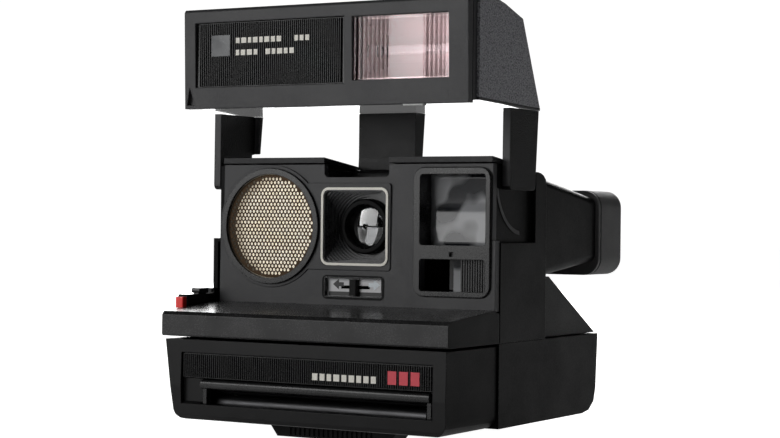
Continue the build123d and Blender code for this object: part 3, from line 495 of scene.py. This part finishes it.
def revolve(name, profile, centre, body, material, replaces=()):
    """A solid turned about a Y axis through centre; profile is (radius, y) from the front."""
    steps = 48
    verts, faces, rings = [], [], []
    for radius, y in profile:
        if radius == 0:
            rings.append([len(verts)])
            verts.append(Vector((centre[0], y, centre[1])))
            continue
        rings.append(list(range(len(verts), len(verts) + steps)))
        for k in range(steps):
            angle = 2 * math.pi * k / steps
            x, z = centre[0] + radius * math.cos(angle), centre[1] + radius * math.sin(angle)
            verts.append(Vector((x, y, z)))
    for a, b in zip(rings, rings[1:]):
        for k in range(steps):
            m = (k + 1) % steps
            if len(a) == 1:
                faces.append((a[0], b[k], b[m]))
            elif len(b) == 1:
                faces.append((a[k], a[m], b[0]))
            else:
                faces.append((a[k], a[m], b[m], b[k]))
    piece(name, verts, faces, body, material, replaces, smooth=True)


def dome(radius, sag, y, steps=10):
    """Profile points of a lens surface of that radius and sag, from its axis outwards."""
    curve = (radius * radius + sag * sag) / (2 * sag)
    points = []
    for i in range(steps + 1):
        r = radius * i / steps
        points.append((r, y + curve - math.sqrt(curve * curve - r * r)))
    return points


def front_lens():
    """The domed front glass, and the dark iris ring behind it."""
    low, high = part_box("front_lens")
    centre = ((low.x + high.x) / 2, (low.z + high.z) / 2)
    radius = (high.x - low.x) / 2
    profile = dome(radius, 1.5 * MM, low.y) + [(radius, high.y - 0.4 * MM), (0, high.y - 0.1 * MM)]
    revolve("front_lens_glass", profile, centre, "body", "lens", ("front_lens",))
    iris = [(0, high.y + 1.2 * MM), (radius * 0.55, high.y + 1.2 * MM), (radius * 0.6, high.y + 0.9 * MM),
            (radius * 0.98, high.y + 0.6 * MM), (radius * 0.98, high.y + 1.6 * MM), (0, high.y + 1.6 * MM)]
    revolve("lens_iris", iris, centre, "body", "gloss")


def shell_grid(name, low, high, bulge, body, material, replaces=()):
    """A rectangular lens plate whose front is pushed back in the middle by bulge(u, v)."""
    cells, thick = 14, 1.2 * MM
    verts, faces = [], []
    for back in (0, 1):
        for i in range(cells + 1):
            for j in range(cells + 1):
                u, v = i / cells, j / cells
                x = low.x + (high.x - low.x) * u
                z = low.z + (high.z - low.z) * v
                y = low.y + thick * back + bulge(2 * u - 1, 2 * v - 1) * (1 - back * 0.4)
                verts.append((x, y, z))
    n = cells + 1

    def vert(back, i, j):
        return back * n * n + i * n + j

    for i in range(cells):
        for j in range(cells):
            corners = ((i, j), (i + 1, j), (i + 1, j + 1), (i, j + 1))
            faces.append(tuple(vert(0, *corner) for corner in corners))
            faces.append(tuple(vert(1, *corner) for corner in (corners[0], *corners[:0:-1])))
    for i in range(cells):
        for a, b in (((i, 0), (i + 1, 0)), ((i + 1, cells), (i, cells)), ((0, i + 1), (0, i)),
                     ((cells, i), (cells, i + 1))):
            faces.append((vert(0, *a), vert(1, *a), vert(1, *b), vert(0, *b)))
    face_outward(piece(name, verts, faces, body, material, replaces, smooth=True))


def finder_glass():
    """The finder's hollow front lens."""
    low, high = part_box("viewfinder_lens")
    hollow, spread = 1.4 * MM, 1.3
    shell_grid("finder_front_glass", low, high,
               lambda u, v: hollow * max(0.0, 1 - (u * u + v * v) / spread),
               "body", "finder", ("viewfinder_lens",))


def marks(name, outlines, y, body, material, depth_mm=0.08):
    """Thin printed marks: X-Z outlines in millimetres, standing just in front of depth y."""
    build = Build()
    for outline in outlines:
        build.prism([at(px, y - depth_mm, pz) for px, pz in outline], Vector((0, depth_mm * MM, 0)))
    build.done(name, body, material)


def bar(x0, x1, z0, z1):
    """The four corners of a level bar."""
    return [(x0, z0), (x1, z0), (x1, z1), (x0, z1)]


def bar_row(start, z0, z1, widths, gap):
    """Level bars side by side, from the left."""
    found, x = [], start
    for width in widths:
        found.append(bar(x, x + width, z0, z1))
        x += width + gap
    return found


def arrow(tip, z, size, way):
    """A broad arrow in seven points; way is -1 for left and +1 for right."""
    back = tip - way * size
    neck = tip - way * size * 0.55
    return [(tip, z), (neck, z + size * 0.42), (neck, z + size * 0.16), (back, z + size * 0.16),
            (back, z - size * 0.16), (neck, z - size * 0.16), (neck, z - size * 0.42)]


def rounded(x, z, corner, grow=0.0, steps=6):
    """Points of a rounded rectangle in X-Z, in millimetres, grown outward by grow."""
    points = []
    radius = corner + grow
    for cx, cz, start in ((x[1] - corner, z[1] - corner, 0), (x[0] + corner, z[1] - corner, 90),
                          (x[0] + corner, z[0] + corner, 180), (x[1] - corner, z[0] + corner, 270)):
        for k in range(steps + 1):
            angle = math.radians(start + 90 * k / steps)
            points.append((cx + radius * math.cos(angle), cz + radius * math.sin(angle)))
    return points


def painted_gap_shade(name, inner, outer, y, depth_mm=0.06):
    """A flat dark band of painted shade between two outlines with as many points, lying on the face at
    depth y.
    """
    build = Build()
    count = len(inner)
    for i in range(count):
        j = (i + 1) % count
        build.prism([at(px, y - depth_mm, pz) for px, pz in (inner[i], inner[j], outer[j], outer[i])],
                    Vector((0, depth_mm * MM, 0)))
    build.done(name, "body", "soft")


def circle_points(middle, radius, steps=48):
    """Points of a circle in X-Z, in millimetres."""
    angles = [math.radians(360 / steps * k) for k in range(steps)]
    return [(middle[0] + radius * math.cos(a), middle[1] + radius * math.sin(a)) for a in angles]


def painted_gap_shades():
    """Flat dark bands of painted shade for the gaps around the parts that are set into the front panel."""
    finder = ((26.1, 56.7), (46.0, 91.6), 4.0)
    painted_gap_shade("finder_gap_shade", rounded(*finder, grow=0.05), rounded(*finder, grow=0.4), 34.98)
    tray = ((-12.2, 13.2), (44.2, 52.1), 1.4)
    painted_gap_shade("exposure_gap_shade", rounded(*tray, grow=-0.1), rounded(*tray, grow=0.45), 35.0)
    lens_x, lens_z = LENS_MIDDLE
    trim_half = 14.24
    trim = ((lens_x - trim_half, lens_x + trim_half), (lens_z - trim_half, lens_z + trim_half), 3.0)
    painted_gap_shade("trim_gap_shade", rounded(*trim, grow=0.03), rounded(*trim, grow=0.5), 35.1)
    painted_gap_shade("ring_gap_shade", circle_points(RING_MIDDLE, 21.5), circle_points(RING_MIDDLE, 22.0), 35.1)


def hood_baffles():
    """Thin plates across the four corners of the lens hood, with a round opening that narrows inward."""
    build = Build()
    plates, front_y, spacing, thick = 9, 36.0, 1.0, 0.4 * MM
    lens_x, lens_z = LENS_MIDDLE
    for i in range(plates):
        half, radius, y = 12.8 - 0.14 * i, 16.6 - 0.68 * i, front_y + spacing * i
        low = math.acos(half / radius) if radius > half else 0.0
        arc = [low + (math.pi / 2 - 2 * low) * k / 8 for k in range(9)]
        for turn in range(4):
            points = [(half, radius * math.sin(low)), (half, half), (radius * math.sin(low), half)]
            points += [(radius * math.cos(a), radius * math.sin(a)) for a in reversed(arc)]
            c, d = (1, 0, -1, 0)[turn], (0, 1, 0, -1)[turn]
            outline = [at(lens_x + px * c - pz * d, y, lens_z + px * d + pz * c) for px, pz in points]
            build.prism(outline, Vector((0, thick, 0)))
    build.done("hood_baffles", "body", "hood")


def face_depth(node):
    """How far back, in millimetres, the front of a CAD node lies."""
    return (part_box(node)[0].y - ORIGIN.y) / MM


def flash_print():
    """Two rows of plain bars on the flash grip."""
    gap, upper, lower = 0.75, (136.6, 138.6), (132.2, 134.2)
    rows = bar_row(-36.6, *upper, (1.6, 2.2, 1.4, 2.0, 1.5, 2.1, 1.7, 1.9), gap)
    rows += bar_row(-11.2, *upper, (1.5, 1.6, 1.6), gap)
    rows += bar_row(-36.6, *lower, (1.5, 1.9, 2.2, 1.6), gap)
    rows += bar_row(-23.6, *lower, (2.0, 1.5, 2.2, 1.6, 1.9), gap)
    marks("flash_marks", rows, face_depth("flash_grip_panel"), "flash", "cream")


def door_print():
    """A row of plain pale bars and three red ones on the film door."""
    depth = face_depth("door_grip_panel")
    pale = bar_row(5.2, 17.0, 19.4, (2.2, 2.0, 1.8, 2.4, 2.0, 2.2, 1.9, 2.1, 2.0), 0.9)
    marks("door_marks", pale, depth, "film_door", "cream")
    red = bar_row(35.6, 17.0, 21.6, (3.4, 3.4, 3.4), 1.1)
    marks("door_marks_red", red, depth, "film_door", "red_ink")


def flash_tab():
    """The pale tab under the flash, right of the column."""
    tab = Build()
    tab.box(at(33.4, 13.1, 112.5), at(41.4, 15.4, 113.2))
    tab.done("flash_tab", "flash", "tab")


def exposure_print():
    """The darker and lighter arrows and the strip under them, in the exposure tray."""
    floor_y, middle, arrow_z = 37.0, 0.5, 49.2
    marks("exposure_arrow_dark", [arrow(middle - 9.6, arrow_z, 4.6, -1)], floor_y,
          "body", "grey_ink")
    marks("exposure_arrow_pale", [arrow(middle + 10.4, arrow_z, 4.8, 1)], floor_y,
          "body", "pale_ink")
    marks("exposure_strip", [bar(middle - 11.4, middle + 11.9, 44.95, 46.5)], floor_y,
          "body", "grey_ink")


ribbed_panel("flash_grip_ribs", "flash_grip_panel", 0.86, 0.9, 1.2, "flash")
ribbed_panel("door_grip_ribs", "door_grip_panel", 0.90, 0.9, 0.3, "film_door")
rangefinder_mesh()
flash_window()
front_lens()
finder_glass()
flash_print()
door_print()
flash_tab()
exposure_print()
painted_gap_shades()
hood_baffles()

# ---- light, floor, camera ------------------------------------------------------------------

def area_light(name, place, target, size, power):
    """A white rectangular light at place that faces target."""
    data = bpy.data.lights.new(name, "AREA")
    data.shape = "RECTANGLE"
    data.size, data.size_y = size
    data.energy = power
    made = bpy.data.objects.new(name, data)
    made.location = place
    made.rotation_euler = (Vector(target) - Vector(place)).to_track_quat("-Z", "Y").to_euler()
    bpy.context.scene.collection.objects.link(made)


def backdrop():
    """White to the camera, nearly black to the rest, with a bright wall for polished faces."""
    world = bpy.data.worlds.new("studio")
    bpy.context.scene.world = world
    world.use_nodes = True
    nodes, links = world.node_tree.nodes, world.node_tree.links
    background = nodes["Background"]
    path = nodes.new("ShaderNodeLightPath")

    def step(kind, source, *values, operation=None):
        made = nodes.new(kind)
        if operation:
            made.operation = operation
        links.new(source, made.inputs[0])
        for i, value in enumerate(values):
            made.inputs[i + 1].default_value = value
        return made

    # the wall stands behind the object's left side
    place = nodes.new("ShaderNodeTexCoord").outputs["Generated"]
    toward = step("ShaderNodeVectorMath", place, (-0.588, 0.809, 0.0), operation="DOT_PRODUCT")
    wall = step("ShaderNodeMapRange", toward.outputs["Value"], 0.80, 0.95, 0.0, 0.8)
    shine = step("ShaderNodeMath", wall.outputs["Result"], operation="MULTIPLY")
    links.new(path.outputs["Is Glossy Ray"], shine.inputs[1])
    base = step("ShaderNodeMapRange", path.outputs["Is Camera Ray"], 0.0, 1.0, 0.012, 1.05)
    both = step("ShaderNodeMath", base.outputs["Result"], operation="ADD")
    links.new(shine.outputs[0], both.inputs[1])
    links.new(both.outputs[0], background.inputs["Strength"])
    background.inputs["Color"].default_value = (1, 1, 1, 1)


def floor_paper():
    """White paper floor, brighter toward the back in the faces that mirror it."""
    bpy.ops.mesh.primitive_plane_add(size=12.0, location=(0, 0, 0))
    floor = bpy.context.object
    floor.name = "studio_floor"
    paper = Shader("floor_paper", (0.7, 0.7, 0.7), 0.9, Specular_IOR_Level=0.0)
    paper.set("Emission Color", (1, 1, 1, 1))
    seen = paper.node("ShaderNodeLightPath")
    glow = paper.node("ShaderNodeMath", operation="MULTIPLY_ADD")
    paper.link(seen.outputs["Is Glossy Ray"], glow.inputs[0])
    apart = paper.node("ShaderNodeSeparateXYZ")
    paper.link(paper.place, apart.inputs["Vector"])
    paper.link(paper.ramp(apart.outputs["Y"], 0.25, 0.85, 0.4, 1.2), glow.inputs[1])
    paper.link(paper.ramp(seen.outputs["Is Camera Ray"], 0.02, 1.0), glow.inputs[2])
    paper.link(glow.outputs[0], paper.shader.inputs["Emission Strength"])
    floor.data.materials.append(paper.material)


def lights():
    middle = (0, 0, 0.08)
    area_light("key", (-0.75, -1.5, 0.55), middle, (1.1, 0.9), 13)
    area_light("top", (0.1, -0.2, 1.6), middle, (1.2, 1.2), 2)
    area_light("back", (-0.7, 1.3, 0.55), middle, (1.5, 0.9), 24)
    area_light("rim", (1.5, 0.9, 1.15), (0, 0, 0.13), (0.8, 0.6), 1.5)


CAMERA_PLACE = at(366.0, -564.6, 72.6)
CAMERA_TURN, CAMERA_PITCH, CAMERA_ROLL = 30.277, 0.056, 0.62
CAMERA_LENS = 89.0


def camera():
    """The camera that stands where the photo's camera stood."""
    data = bpy.data.cameras.new("camera")
    data.lens, data.sensor_width = CAMERA_LENS, 36.0
    data.clip_start = 0.01
    made = bpy.data.objects.new("camera", data)
    turn, pitch, roll = (math.radians(a) for a in (CAMERA_TURN, CAMERA_PITCH, CAMERA_ROLL))
    ahead = Vector((-math.sin(turn) * math.cos(pitch), math.cos(turn) * math.cos(pitch), math.sin(pitch)))
    side = Vector((math.cos(turn), math.sin(turn), 0))
    up = side.cross(ahead)
    right = side * math.cos(roll) + up * math.sin(roll)
    up = right.cross(ahead)
    axes = Matrix((right, up, -ahead)).transposed()
    made.matrix_world = Matrix.Translation(CAMERA_PLACE) @ axes.to_4x4()
    bpy.context.scene.collection.objects.link(made)
    bpy.context.scene.camera = made


backdrop()
floor_paper()
lights()
camera()
bpy.context.scene.view_settings.view_transform = "Standard"
